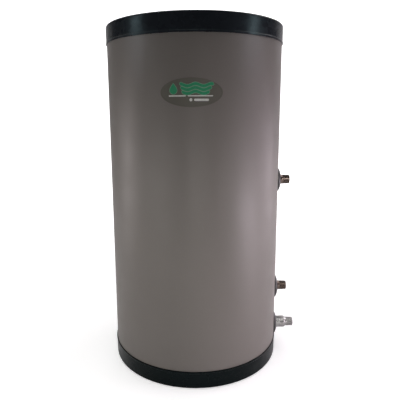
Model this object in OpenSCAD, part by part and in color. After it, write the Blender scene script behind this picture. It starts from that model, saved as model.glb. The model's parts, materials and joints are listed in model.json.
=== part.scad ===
// Indirect-fired storage water heater: a stainless tank with a boiler coil inside,
// wrapped in foam and a painted jacket between two moulded caps, with a relief valve on top.
// Origin on the tank's axis at the floor, +Z up. The badge faces -Y and the side ports point along +X.

/* [Casing] */
// Outside diameter of the painted jacket
jacket_d = 590; // [580:1:610]
// Height from the floor to the top cap's rim
casing_h = 1150; // [1140:5:1250]
// Height of the base cap's wall
base_cap_h = 57.5; // [40:0.5:57.5]
// Height of the top cap's wall
top_cap_h = 58.5; // [40:0.5:70]
// Wall of both moulded caps
cap_t = 2; // [1.5:0.1:3]
// How far a cap's rolled edge stands out from its wall
lip_out = 1; // [0.5:0.1:2]
// Thickness of the jacket's sheet
jacket_t = 0.6; // [0.5:0.1:0.6]
// Number of rivets in the jacket's seam
rivet_count = 9; // [4:1:14]

/* [Tank] */
// Outside diameter of the pressure vessel
tank_d = 512; // [500:1:520]
// Wall of the vessel
tank_t = 2; // [1.5:0.1:3]
// Height of the vessel's lowest point
tank_bottom_z = 118; // [116:1:120]
// Foam between the vessel's highest point and the rim
top_foam = 52; // [45:1:60]

/* [Coil] */
// Radius of each half turn about its own tilted axis
coil_half_r = 190.625; // [185:0.125:195]
// Outside diameter of the coil's tube
coil_tube_d = 24; // [20:0.5:25]
// Wall of the coil's tube
coil_tube_t = 1.2; // [0.8:0.1:2]
// Full turns
coil_turns = 7; // [4:1:7]

/* [Side ports] */
// Height of the boiler inlet
boiler_inlet_z = 632.096; // [625:0.001:650]
// Height of the boiler return
boiler_return_z = 227.3; // [225:0.001:235]
// Height of the cold inlet, which is also the drain
cold_inlet_z = 79.5; // [79.5:0.5:80.5]
// Outside diameter of the port pipes (1 inch pipe)
pipe_d = 33.4; // [33:0.1:33.7]
// Wall of the port pipes
pipe_t = 3.4; // [3:0.1:3.6]
// Length of the thread on each pipe's end
thread_l = 26; // [20:1:27]
// Distance from the tank's axis to the boiler ports' ends
boiler_reach = 340; // [335:0.5:360]
// Distance from the axis to the end of the cold inlet's coupling
coupling_reach = 339; // [330:0.5:345]
// Distance from the axis to the cold inlet's end
cold_reach = 370; // [360:0.5:380]
// Outside diameter of the cold inlet's coupling
coupling_d = 42.2; // [41:0.1:42.4]
// Diameter of the domed grommets where they meet the jacket
grommet_d = 88; // [70:1:90]
// How far the grommets stand out from the jacket
grommet_h = 13.5; // [8:0.5:16]

/* [Top ports] */
// How far the hot outlet stands above the rim
hot_outlet_up = 45; // [35:1:60]
// Distance from the axis to the relief valve, towards the rear
relief_y = 170; // [150:1:180]

/* [Sensor well] */
// Height of the thermostat's dry well, on the rear
well_z = 700; // [690:5:800]
// Outside diameter of the well's tube
well_d = 15.9; // [12:0.1:16]
// Length of the well inside the casing
well_l = 232; // [200:1:240]

/* [Relief valve] */
// Length of the lever from its pin
lever_l = 56; // [45:1:65]
// Turns of the valve's spring
spring_turns = 5; // [3:1:5]

/* [Badge] */
// Width of the oval badge, measured round the jacket
badge_w = 182; // [120:1:200]
// Height of the badge
badge_h = 82; // [50:1:90]
// Height of the badge's centre
badge_z = 928; // [800:1:980]
// How far the badge is turned round the jacket from the front
badge_turn = -1.7; // [-10:0.1:10]

/* [Hidden] */
$fn = 96;
casing_fn = 360;        // finer, for the cuts that let small parts sit against the jacket
fit_gap = 0.1;          // gap between parts that are welded or pushed together
run_gap = 0.08;         // radial clearance of a shaft that moves
jacket_r = jacket_d / 2;
tank_r = tank_d / 2;
pipe_r = pipe_d / 2;
pipe_bore_r = pipe_r - pipe_t;
thread_r = pipe_r - 0.3;    // over the crests, midway along the taper

// Caps
cap_fit = 0.15;         // slack between the jacket and a cap
cap_in_r = jacket_r + cap_fit;
cap_out_r = cap_in_r + cap_t;
lip_r = cap_out_r + lip_out;
lip_h = 6;
lip_round = 0.9;
top_round = 6;          // outer corner of the top cap
base_round = 4;         // outer corner of the base cap
floor_t = 5.5;          // base cap's floor, ribs included
pocket_depth = 2.5;     // pockets under the floor, which leave a flat hub, spokes and ring
pocket_in_r = 60;
pocket_out_r = 276;
pocket_count = 8;
spoke_angle = 6;
deck_t = 2.5;           // flat top of the top cap
plateau_up = 3;         // raised centre of the top cap
plateau_r = 262;
plateau_run = 4;        // width of the slope up to the plateau
deck_z = casing_h + plateau_up;

// Jacket
jacket_in_r = jacket_r - jacket_t;
jacket_low = floor_t + 0.5;
jacket_high = casing_h - top_round - 0.5;
port_hole_r = 21.8;
well_hole_r = 13;
well_out = 8;          // how far the well's mouth stands out from the jacket
well_end_t = 3;        // its closed inner end
seam_at = 135;          // angle of the seam from +X, on the rear left
seam_gap = 2;
seam_lap = 30;
rivet_offset = 12;
rivet_r = 2;
rivet_margin = 90;      // from the jacket's ends to the first rivet
rivet_pitch = (jacket_high - jacket_low - 2 * rivet_margin) / (rivet_count - 1);
function arc_angle(length) = length / jacket_r * 180 / PI;

// Vessel: cylindrical shell between two dished heads (crown radius = diameter, knuckle = 6 %)
crown_r = tank_d;
knuckle_r = 0.06 * tank_d;
head_depth = crown_r - sqrt(pow(crown_r - knuckle_r, 2) - pow(tank_r - knuckle_r, 2));
tank_top_z = casing_h - top_foam;
lower_seam_z = tank_bottom_z + head_depth;
upper_seam_z = tank_top_z - head_depth;
skirt_r = 176;
skirt_t = 4;
skirt_foot_r = 190;
skirt_foot_t = 3;

// Coil: half turns tilted about Y, on alternate sides. At the default sizes the tilt's sine and
// cosine are 0.07584 and 0.99712 exactly, so each half turn meets the next with no step.
tube_r = coil_tube_d / 2;
coil_rise = boiler_inlet_z - boiler_return_z;
half_rise = coil_rise / (2 * coil_turns);
coil_tilt = asin(half_rise / 2 / coil_half_r);
coil_r = coil_half_r * cos(coil_tilt);
last_half = 2 * coil_turns - 1;
lead_x = 110;           // where a lead leaves its straight run beside the coil
bend_r = 60;
tail_x = lead_x + 2 * bend_r;
tail_end = tank_r + 6;
function half_z(k) = boiler_return_z + k * half_rise;
function half_middle(k) = half_z(k + 0.5);
comb_w = 44;
comb_t = 4;
comb_over = 25;         // how far a comb runs past the first and last turn
comb_arm_h = 14;

// Ports
nipple_in_x = tank_r - 8;
nipple_step_x = tail_end + 1;
boss_r = 21;
boss_out_x = tank_r + 20;
coupling_r = coupling_d / 2;
coupling_in_x = jacket_r - 5;
cold_pipe_out_x = coupling_reach - 22;
cold_nipple_in_x = coupling_reach - 20;
elbow_r = 33;           // centreline radius of the cold inlet's elbow
spigot_l = 7;
hot_boss_top = tank_top_z + 28;
relief_boss_r = 18;
relief_boss_bore_r = 13.45;
grommet_foot = 6;       // depth of the grommet's skirt before it is trimmed to the jacket
top_grommet_d = 74;
top_grommet_h = 8;
diffuser_r = 55;
diffuser_z = tank_bottom_z + 32;

// Relief valve, heights above its hexagon's underside
valve_z = casing_h + 7;
valve_shank_r = 13.3;
valve_shank_l = 24;
valve_bore_r = 7;
hex_h = 10;
hex_across = 38;
barrel_r = 17;
barrel_top = 42;
seat_z = 13;
chamber_r = 12.5;
outlet_z = 25;
outlet_r = 16.8;
outlet_l = 38;
outlet_bore_r = 12.8;   // female thread, 3/4 inch pipe
outlet_thread_l = 16;
outlet_way_r = 9;
bonnet_top = 66;
bonnet_r = 13.5;
bonnet_flange_h = 5;
bonnet_chamber_r = 10.8;
bonnet_crown = 4;
stem_r = 3;
stem_end = 76.5;
disc_r = 9.5;
disc_t = 2;
collar_r = 9.3;
collar_t = 2.5;
pin_up = 72;
pin_r = 1.5;
cheek_in = 3.4;
cheek_t = 2;
spring_wire_r = 1.1;
spring_half_r = 7.5;    // radius of each tilted half turn
spring_climb = 4.2;     // rise of each half turn: the tilt's sine and cosine are 0.28 and 0.96
spring_low = seat_z + disc_t + collar_t + 0.15;
probe_r = 4.75;
probe_l = 150;

// ---- shared shapes ----

// Points along a circular arc
function arc(x, y, r, from, to, steps = 6) =
    [for (i = [0:steps]) let (a = from + (to - from) * i / steps) [x + r * cos(a), y + r * sin(a)]];

// Half section of a dished head above its seam, from the axis to the seam, moved inwards by inset
function dish(inset = 0) =
    let (
        lean = asin((tank_r - knuckle_r) / (crown_r - knuckle_r)),
        crown = arc(0, head_depth - crown_r, crown_r - inset, 90, 90 - lean, 8),
        knuckle = arc(tank_r - knuckle_r, 0, knuckle_r - inset, 90 - lean, 0, 6)
    )
    concat([[0, crown[0][1]]], [for (i = [1:8]) crown[i]], [for (i = [1:6]) knuckle[i]]);

function mirrored(points) = [for (p = points) [p[0], -p[1]]];
function raised(points, z) = [for (p = points) [p[0], p[1] + z]];
function backwards(points) = [for (i = [len(points) - 1:-1:0]) points[i]];

module ring(outer_r, inner_r, h) {
    difference() {
        cylinder(r = outer_r, h = h);
        translate([0, 0, -1]) cylinder(r = inner_r, h = h + 2);
    }
}

// Turns a shape built along +Z so that it points along +X at a height
module along_x(z, x = 0) {
    translate([x, 0, z]) rotate([0, 90, 0]) children();
}

// The same along +Y
module along_y(z, y = 0) {
    translate([0, y, z]) rotate([-90, 0, 0]) children();
}

// The whole vessel as one solid, for trimming what meets it
module vessel(inset = 0) {
    rotate_extrude()
        polygon(concat(
            raised(mirrored(dish(inset)), lower_seam_z),
            backwards(raised(dish(inset), upper_seam_z))
        ));
}

// ---- casing ----

module base_cap() {
    color("#15191b") difference() {
        rotate_extrude()
            polygon(concat(
                [[0, 0]],
                arc(cap_out_r - base_round, base_round, base_round, -90, 0),
                [[cap_out_r, base_cap_h - lip_h - lip_out]],
                arc(lip_r - lip_round, base_cap_h - lip_h + lip_round, lip_round, -45, 0, 2),
                arc(lip_r - lip_round, base_cap_h - lip_round, lip_round, 0, 90, 3),
                [[cap_in_r, base_cap_h], [cap_in_r, floor_t], [0, floor_t]]
            ));
        for (i = [0:pocket_count - 1])
            rotate([0, 0, i * 360 / pocket_count + spoke_angle / 2])
                translate([0, 0, -1])
                    rotate_extrude(angle = 360 / pocket_count - spoke_angle)
                        translate([pocket_in_r, 0])
                            square([pocket_out_r - pocket_in_r, pocket_depth + 1]);
    }
}

module top_cap() {
    wall_low = casing_h - top_cap_h;
    color("#1a1f22") difference() {
        rotate_extrude()
            polygon(concat(
                [[0, deck_z - deck_t], [plateau_r - plateau_run, deck_z - deck_t],
                 [plateau_r, casing_h - deck_t]],
                arc(cap_in_r - top_round + cap_t, casing_h - top_round, top_round - deck_t, 90, 0, 4),
                [[cap_in_r, casing_h - top_round], [cap_in_r, wall_low]],
                arc(lip_r - lip_round, wall_low + lip_round, lip_round, -90, 0, 3),
                arc(lip_r - lip_round, wall_low + lip_h - lip_round, lip_round, 0, 45, 2),
                [[cap_out_r, wall_low + lip_h + lip_out]],
                arc(cap_out_r - top_round, casing_h - top_round, top_round, 0, 90),
                [[plateau_r, casing_h], [plateau_r - plateau_run, deck_z], [0, deck_z]]
            ));
        translate([0, 0, casing_h - 10]) cylinder(r = pipe_r + 2, h = 20);
        translate([0, relief_y, casing_h - 10]) cylinder(r = relief_boss_r + 0.5, h = 20);
    }
}

module sheet_wrap(outer_r, t, from, angle) {
    rotate([0, 0, from])
        translate([0, 0, jacket_low])
            rotate_extrude(angle = angle)
                translate([outer_r - t, 0]) square([t, jacket_high - jacket_low]);
}

module jacket() {
    gap = arc_angle(seam_gap);
    lap = arc_angle(seam_lap);
    color("#6b6660") difference() {
        union() {
            sheet_wrap(jacket_r, jacket_t, seam_at + gap / 2, 360 - gap);
            sheet_wrap(jacket_in_r, jacket_t, seam_at - lap / 2, lap);
        }
        for (z = [boiler_inlet_z, boiler_return_z, cold_inlet_z])
            along_x(z, jacket_r - 20) cylinder(r = port_hole_r, h = 40);
        along_y(well_z, jacket_r - 20) cylinder(r = well_hole_r, h = 40);
        at_rivets() cylinder(r = rivet_r + fit_gap, h = 40, center = true);
    }
}

// Places a shape that points outwards at every rivet of the seam
module at_rivets() {
    for (i = [0:rivet_count - 1])
        rotate([0, 0, seam_at + arc_angle(rivet_offset)])
            along_x(jacket_low + rivet_margin + i * rivet_pitch, jacket_r)
                children();
}

module jacket_rivets() {
    color("silver") at_rivets() {
        translate([0, 0, -2 * jacket_t]) cylinder(r = rivet_r, h = 2 * jacket_t);
        cylinder(r1 = 4.5, r2 = 3, h = 1.6);
    }
}

// A thin plate of any outline, bent round the jacket at the front
module bent_plate(t, depth = 60) {
    intersection() {
        translate([0, -jacket_r + depth, 0])
            rotate([90, 0, 0])
                linear_extrude(height = 2 * depth) children();
        translate([0, 0, -200]) ring(jacket_r + t, jacket_r, 400);
    }
}

module badge() {
    half_w = jacket_r * sin(arc_angle(badge_w / 2));
    color("#3c4a3f")
        rotate([0, 0, badge_turn])
            translate([0, 0, badge_z])
                bent_plate(0.5)
                    polygon([for (i = [0:47]) [half_w * cos(i * 7.5), badge_h / 2 * sin(i * 7.5)]]);
}

module rating_plate() {
    color("gainsboro")
        rotate([0, 0, 180])
            translate([0, 0, 360])
                bent_plate(0.4) square([120, 90], center = true);
}

// ---- insulation and support ----

// Everything that runs through the insulation, as solids
module insulation_cuts() {
    vessel(-fit_gap);
    for (z = [boiler_inlet_z, boiler_return_z])
        along_x(z, tank_r - 20) cylinder(r = boss_r + 1, h = 80);
    cold_pipe_shape(pipe_r + fit_gap);
    along_x(cold_inlet_z, coupling_in_x - 1) cylinder(r = coupling_r + fit_gap, h = 40);
    along_y(well_z) cylinder(r = well_d / 2 + fit_gap, h = jacket_r + 20);
    along_y(well_z, jacket_r - spigot_l - 1) cylinder(r = well_hole_r, h = 40);
    translate([0, 0, tank_top_z - 20]) cylinder(r = boss_r + 1, h = 120);
    translate([0, relief_y, tank_top_z - 60]) cylinder(r = relief_boss_r + fit_gap, h = 160);
}

module foam_insulation() {
    lap = arc_angle(seam_lap);
    color("khaki") difference() {
        union() {
            translate([0, 0, floor_t]) cylinder(r = jacket_in_r - fit_gap, h = jacket_high - floor_t);
            translate([0, 0, floor_t])
                cylinder(r = jacket_in_r - top_round, h = casing_h - deck_t - fit_gap - floor_t);
        }
        insulation_cuts();
        cylinder(r = skirt_r + fit_gap, h = lower_seam_z - 20);
        cylinder(r = skirt_foot_r + fit_gap, h = floor_t + skirt_foot_t + fit_gap);
        rotate([0, 0, seam_at - lap / 2 - 0.2])
            rotate_extrude(angle = lap + 0.4)
                translate([jacket_in_r - jacket_t - fit_gap, 0]) square([5, casing_h]);
    }
}

module base_insulation() {
    color("whitesmoke") difference() {
        translate([0, 0, floor_t + skirt_foot_t + 1])
            cylinder(r = skirt_r - skirt_t - fit_gap, h = lower_seam_z - 60);
        insulation_cuts();
    }
}

module support_ring() {
    color("dimgray") difference() {
        translate([0, 0, floor_t])
            rotate_extrude()
                polygon([
                    [skirt_r - skirt_t, 0], [skirt_foot_r, 0], [skirt_foot_r, skirt_foot_t],
                    [skirt_r, skirt_foot_t], [skirt_r, lower_seam_z - 20],
                    [skirt_r - skirt_t, lower_seam_z - 20]
                ]);
        vessel();
        along_x(cold_inlet_z) cylinder(r = pipe_r + 3, h = 300);
    }
}

// ---- vessel ----

module tank_shell() {
    color("lightsteelblue") difference() {
        translate([0, 0, lower_seam_z]) ring(tank_r, tank_r - tank_t, upper_seam_z - lower_seam_z);
        for (z = [boiler_inlet_z, boiler_return_z])
            along_x(z) cylinder(r = pipe_r + fit_gap, h = tank_r + 20);
        along_y(well_z) cylinder(r = well_d / 2 + fit_gap, h = tank_r + 20);
    }
}

module head_section() {
    rotate_extrude() polygon(concat(dish(), backwards(dish(tank_t))));
}

module tank_upper_head() {
    color("lightsteelblue") difference() {
        translate([0, 0, upper_seam_z]) head_section();
        translate([0, 0, tank_top_z - 10]) cylinder(r = pipe_bore_r, h = 20);
        translate([0, relief_y, tank_top_z - 60]) cylinder(r = relief_boss_bore_r, h = 80);
    }
}

module tank_lower_head() {
    color("lightsteelblue") difference() {
        translate([0, 0, lower_seam_z]) mirror([0, 0, 1]) head_section();
        translate([0, 0, tank_bottom_z - 10]) cylinder(r = pipe_r + fit_gap, h = 20);
    }
}

// ---- coil ----

module tube_section() {
    difference() {
        circle(r = tube_r);
        circle(r = tube_r - coil_tube_t);
    }
}

// Part of a turn in the flat
module flat_arc(r, from, angle) {
    rotate([0, 0, from])
        rotate_extrude(angle = angle)
            translate([r, 0]) tube_section();
}

// A climbing half turn: odd ones on the +Y side, even ones on the -Y side
module half_turn(k) {
    side = k % 2 == 1 ? 1 : -1;
    translate([0, 0, half_middle(k)])
        rotate([0, side * coil_tilt, 0])
            flat_arc(coil_half_r, side > 0 ? 0 : 180, 180);
}

module straight_tube(l) {
    ring(tube_r, tube_r - coil_tube_t, l);
}

// A flat lead from the coil's far side round to a port on +X, built on the +Y side
module lead() {
    flat_arc(coil_r, 90, 90);
    translate([0, coil_r, 0]) rotate([0, 90, 0]) straight_tube(lead_x);
    translate([lead_x, coil_r - bend_r, 0]) flat_arc(bend_r, 0, 90);
    translate([lead_x + bend_r, bend_r, 0]) rotate([-90, 0, 0]) straight_tube(coil_r - 2 * bend_r);
    translate([tail_x, bend_r, 0]) flat_arc(bend_r, 180, 90);
    translate([tail_x, 0, 0]) rotate([0, 90, 0]) straight_tube(tail_end - tail_x);
}

module heat_exchanger_coil() {
    color("#8a6248") {
        translate([0, 0, boiler_return_z]) lead();
        for (k = [0:last_half]) half_turn(k);
        translate([0, 0, boiler_inlet_z]) mirror([0, 1, 0]) lead();
    }
}

// A comb on a given side whose holes hold the turns: centres is a list of [radius, height]
module comb(turn, centres) {
    low = boiler_return_z - comb_over;
    h = coil_rise + 2 * comb_over;
    rotate([0, 0, turn]) difference() {
        union() {
            translate([coil_r - comb_w / 2, -comb_t / 2, low]) cube([comb_w, comb_t, h]);
            for (z = [low + comb_arm_h, low + h - 2 * comb_arm_h])
                translate([coil_r, -comb_t / 2, z])
                    cube([tank_r - tank_t - coil_r - 0.05, comb_t, comb_arm_h]);
        }
        for (c = centres)
            translate([c[0], 10, c[1]]) rotate([90, 0, 0]) cylinder(r = tube_r + 0.4, h = 20);
    }
}

module coil_supports() {
    odd = [for (k = [1:2:last_half]) [coil_half_r, half_middle(k)]];
    even = [for (k = [0:2:last_half]) [coil_half_r, half_middle(k)]];
    joints = [for (k = [0:2:last_half + 1]) [coil_r, half_z(k)]];
    color("gray") {
        comb(90, concat([[coil_r, boiler_return_z]], odd));
        comb(180, joints);
        comb(270, concat(even, [[coil_r, boiler_inlet_z]]));
    }
}

// ---- side ports ----

module boiler_boss(z) {
    color("lightsteelblue") difference() {
        along_x(z, tank_r - 20) ring(boss_r, pipe_r + fit_gap, boss_out_x - tank_r + 20);
        vessel();
    }
}

module boiler_inlet_boss() { boiler_boss(boiler_inlet_z); }
module boiler_return_boss() { boiler_boss(boiler_return_z); }

// Pipe of a length, built along +Z, with the thread at its far end
module threaded_pipe(l) {
    cylinder(r = pipe_r, h = l - thread_l);
    cylinder(r = thread_r, h = l);
}

module boiler_nipple(z) {
    color("#7a5c4b") difference() {
        along_x(z, nipple_in_x) threaded_pipe(boiler_reach - nipple_in_x);
        along_x(z, nipple_in_x - 1) cylinder(r = tube_r + fit_gap, h = nipple_step_x - nipple_in_x + 2);
        along_x(z, nipple_step_x) cylinder(r = pipe_bore_r, h = boiler_reach - nipple_step_x + 1);
    }
}

module boiler_inlet_nipple() { boiler_nipple(boiler_inlet_z); }
module boiler_return_nipple() { boiler_nipple(boiler_return_z); }

// Domed rubber ring, built along +Z with its foot at z = 0
module dome(d, h, bore_r, foot) {
    rim = acos((bore_r + 2.5) / (d / 2));
    rotate_extrude()
        polygon(concat(
            [[bore_r, -foot], [d / 2, -foot]],
            [for (i = [0:8]) [d / 2 * cos(i * rim / 8), h * sin(i * rim / 8)]],
            [[bore_r, h * sin(rim) - 1.5]]
        ));
}

// Domed grommet round a side port, trimmed to the jacket
module port_grommet(z, bore_r) {
    difference() {
        along_x(z, jacket_r) dome(grommet_d, grommet_h, bore_r, grommet_foot);
        translate([0, 0, z - grommet_d]) cylinder(r = jacket_r + fit_gap, h = 2 * grommet_d, $fn = casing_fn);
    }
}

// The spigot that holds a grommet in the jacket's hole
module grommet_spigot(z, hole_r, bore_r) {
    along_x(z, jacket_r - spigot_l) ring(hole_r - fit_gap, bore_r, spigot_l + 1);
}

module boiler_grommet(z) {
    color("#1c1b1b") {
        port_grommet(z, pipe_r + fit_gap);
        grommet_spigot(z, port_hole_r, pipe_r + fit_gap);
    }
}

module boiler_inlet_grommet() { boiler_grommet(boiler_inlet_z); }
module boiler_return_grommet() { boiler_grommet(boiler_return_z); }

// The lowest grommet laps over the base cap's edge, so its foot is relieved there
module cold_inlet_grommet() {
    color("#1c1b1b") difference() {
        port_grommet(cold_inlet_z, coupling_r + fit_gap);
        cylinder(r = lip_r + 0.2, h = base_cap_h + 0.2, $fn = casing_fn);
    }
}

// Pipe from the coupling, in under the vessel, and up into its lowest point
module cold_pipe_shape(r) {
    along_x(cold_inlet_z, elbow_r) cylinder(r = r, h = cold_pipe_out_x - elbow_r);
    translate([elbow_r, 0, cold_inlet_z + elbow_r])
        rotate([90, 0, 0])
            rotate([0, 0, 180]) rotate_extrude(angle = 90) translate([elbow_r, 0]) circle(r = r);
    translate([0, 0, cold_inlet_z + elbow_r])
        cylinder(r = r, h = tank_bottom_z + 5 - cold_inlet_z - elbow_r);
}

module cold_inlet_pipe() {
    color("silver") difference() {
        cold_pipe_shape(pipe_r);
        cold_pipe_bore();
    }
}

module cold_pipe_bore() {
    along_x(cold_inlet_z, elbow_r) cylinder(r = pipe_bore_r, h = cold_pipe_out_x);
    translate([elbow_r, 0, cold_inlet_z + elbow_r])
        rotate([90, 0, 0])
            rotate([0, 0, 180]) rotate_extrude(angle = 90) translate([elbow_r, 0]) circle(r = pipe_bore_r);
    translate([0, 0, cold_inlet_z + elbow_r]) cylinder(r = pipe_bore_r, h = 40);
}

module cold_inlet_coupling() {
    color("silver")
        along_x(cold_inlet_z, coupling_in_x)
            ring(coupling_r, pipe_r + fit_gap, coupling_reach - coupling_in_x);
}

// A length of threaded pipe, bored through
module threaded_tube(l) {
    difference() {
        threaded_pipe(l);
        translate([0, 0, -1]) cylinder(r = pipe_bore_r, h = l + 2);
    }
}

module cold_inlet_nipple() {
    color("silver") along_x(cold_inlet_z, cold_nipple_in_x) threaded_tube(cold_reach - cold_nipple_in_x);
}

// Baffle on three legs that turns the incoming water sideways
module inlet_diffuser() {
    color("lightsteelblue") {
        translate([0, 0, diffuser_z]) cylinder(r = diffuser_r, h = 2);
        intersection() {
            for (a = [60, 180, 300])
                rotate([0, 0, a])
                    translate([diffuser_r - 8, 0, tank_bottom_z])
                        cylinder(r = 3, h = diffuser_z - tank_bottom_z + 1);
            vessel(tank_t);
        }
    }
}

// ---- top ports ----

module hot_outlet_boss() {
    color("lightsteelblue") difference() {
        translate([0, 0, tank_top_z - 10]) ring(boss_r, pipe_r + fit_gap, hot_boss_top - tank_top_z + 10);
        vessel();
    }
}

module hot_outlet_nipple() {
    color("silver")
        translate([0, 0, tank_top_z + 4]) threaded_tube(casing_h + hot_outlet_up - tank_top_z - 4);
}

module hot_outlet_grommet() {
    color("#1c1b1b")
        translate([0, 0, deck_z])
            dome(top_grommet_d, top_grommet_h, pipe_r + fit_gap, 0);
}

module relief_valve_boss() {
    color("lightsteelblue") difference() {
        translate([0, relief_y, tank_top_z - 50])
            ring(relief_boss_r, relief_boss_bore_r, valve_z - 0.5 - tank_top_z + 50);
        vessel();
    }
}

module relief_valve_grommet() {
    color("#1c1b1b")
        translate([0, relief_y, deck_z])
            dome(60, valve_z - 1 - deck_z, relief_boss_r + fit_gap, 0);
}

module sensor_well() {
    color("silver") difference() {
        along_y(well_z, jacket_r - well_l - well_end_t)
            cylinder(r = well_d / 2, h = well_l + well_end_t + well_out);
        along_y(well_z, jacket_r - well_l) cylinder(r = well_d / 2 - 1.35, h = well_l + well_out + 1);
    }
}

module sensor_well_grommet() {
    bore_r = well_d / 2 + fit_gap;
    color("#1c1b1b") rotate([0, 0, 90]) {
        difference() {
            along_x(well_z, jacket_r) dome(38, 3.5, bore_r, 3);
            translate([0, 0, well_z - 50]) cylinder(r = jacket_r + fit_gap, h = 100, $fn = casing_fn);
        }
        grommet_spigot(well_z, well_hole_r, bore_r);
    }
}

// ---- relief valve ----

// Moves a shape from the valve's own frame to its place on top
module at_valve(up = 0) {
    translate([0, relief_y, valve_z + up]) children();
}

module relief_valve_body() {
    color("#b08d57") at_valve() difference() {
        union() {
            translate([0, 0, -valve_shank_l]) cylinder(r = valve_shank_r, h = valve_shank_l + 1);
            cylinder(r = hex_across / 2 / cos(30), h = hex_h, $fn = 6);
            translate([0, 0, hex_h - 1]) cylinder(r = barrel_r, h = barrel_top - hex_h + 1);
            along_y(outlet_z) cylinder(r = outlet_r, h = outlet_l);
        }
        translate([0, 0, -valve_shank_l - 1]) cylinder(r = valve_bore_r, h = valve_shank_l + barrel_top);
        translate([0, 0, seat_z]) cylinder(r = chamber_r, h = barrel_top);
        along_y(outlet_z) cylinder(r = outlet_way_r, h = outlet_l + 1);
        along_y(outlet_z, outlet_l - outlet_thread_l) cylinder(r = outlet_bore_r, h = outlet_thread_l + 1);
    }
}

module relief_valve_bonnet() {
    color("#b08d57") at_valve(barrel_top) difference() {
        union() {
            cylinder(r = barrel_r, h = bonnet_flange_h);
            cylinder(r = bonnet_r, h = bonnet_top - barrel_top);
        }
        translate([0, 0, -1]) cylinder(r = bonnet_chamber_r, h = bonnet_top - bonnet_crown - barrel_top + 1);
        cylinder(r = stem_r + run_gap, h = 50);
    }
}

module relief_valve_stem() {
    color("#c9a86a") at_valve() difference() {
        union() {
            translate([0, 0, seat_z + disc_t]) cylinder(r = stem_r, h = stem_end - seat_z - disc_t);
            translate([0, 0, seat_z + disc_t]) cylinder(r = collar_r, h = collar_t);
        }
        translate([-20, 0, pin_up]) rotate([0, 90, 0]) cylinder(r = pin_r, h = 40);
    }
}

module relief_valve_disc() {
    color("#222222") at_valve(seat_z) cylinder(r = disc_r, h = disc_t);
}

// Spring of tilted half turns between two flat end turns
module relief_valve_spring() {
    tilt = asin(spring_climb / 2 / spring_half_r);
    flat_r = spring_half_r * cos(tilt);
    color("silver") at_valve(spring_low + spring_wire_r) {
        half_wire(flat_r, 0);
        for (k = [0:2 * spring_turns - 1])
            let (side = k % 2 == 1 ? 1 : -1)
                translate([0, 0, (k + 0.5) * spring_climb])
                    rotate([0, side * tilt, 0])
                        half_wire(spring_half_r, side > 0 ? 0 : 180);
        translate([0, 0, 2 * spring_turns * spring_climb]) half_wire(flat_r, 180);
    }
}

module half_wire(r, from) {
    rotate([0, 0, from])
        rotate_extrude(angle = 180)
            translate([r, 0]) circle(r = spring_wire_r);
}

// Cam outline of a lever cheek round its pin: the heel grows with the angle that it turns through
cam = [[12, 2.5], [-2, 3.5], [-8.5, 2.5], [-9.96, -0.87], [-6.88, -4.82], [-3, -5.85], [3, -5.85], [12, -2]];

module relief_valve_lever() {
    paddle_from = 8;
    color("#c23b2e") at_valve(pin_up) {
        for (side = [-1, 1])
            difference() {
                translate([side * (cheek_in + cheek_t / 2) - cheek_t / 2, 0, 0])
                    rotate([90, 0, 90]) linear_extrude(height = cheek_t) polygon(cam);
                translate([-20, 0, 0]) rotate([0, 90, 0]) cylinder(r = pin_r + run_gap, h = 40);
            }
        difference() {
            union() {
                translate([-8, paddle_from, 0]) cube([16, lever_l - 8 - paddle_from, 2]);
                translate([0, lever_l - 8, 0]) cylinder(r = 8, h = 2);
            }
            translate([0, lever_l - 8, -1]) cylinder(r = 3, h = 4);
        }
    }
}

module relief_lever_pin() {
    half = cheek_in + cheek_t;
    color("silver") at_valve(pin_up) {
        translate([-half - 0.2, 0, 0]) rotate([0, 90, 0]) cylinder(r = pin_r, h = 2 * half + 0.4);
        for (side = [-1, 1])
            translate([side * (half + 0.7) - 0.5, 0, 0]) rotate([0, 90, 0]) cylinder(r = 2.3, h = 1);
    }
}

// Thermostat rod that reaches down into the hottest water
module relief_valve_probe() {
    color("#b87333") at_valve(-valve_shank_l) {
        translate([0, 0, -probe_l]) cylinder(r = probe_r, h = probe_l + 6);
        translate([0, 0, 2]) difference() {
            cylinder(r = valve_bore_r - fit_gap, h = 4);
            for (a = [0, 120, 240])
                rotate([0, 0, a]) translate([valve_bore_r, 0, -1]) cylinder(r = 1.8, h = 6);
        }
    }
}

base_cap();
top_cap();
jacket();
jacket_rivets();
badge();
rating_plate();
foam_insulation();
base_insulation();
support_ring();
tank_shell();
tank_upper_head();
tank_lower_head();
heat_exchanger_coil();
coil_supports();
boiler_inlet_boss();
boiler_return_boss();
boiler_inlet_nipple();
boiler_return_nipple();
boiler_inlet_grommet();
boiler_return_grommet();
cold_inlet_grommet();
cold_inlet_pipe();
cold_inlet_coupling();
cold_inlet_nipple();
inlet_diffuser();
hot_outlet_boss();
hot_outlet_nipple();
hot_outlet_grommet();
relief_valve_boss();
relief_valve_grommet();
sensor_well();
sensor_well_grommet();
relief_valve_body();
relief_valve_bonnet();
relief_valve_stem();
relief_valve_disc();
relief_valve_spring();
relief_valve_lever();
relief_lever_pin();
relief_valve_probe();
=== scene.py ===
import json
import math

import bmesh
import bpy
from mathutils import Matrix, Vector


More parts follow.
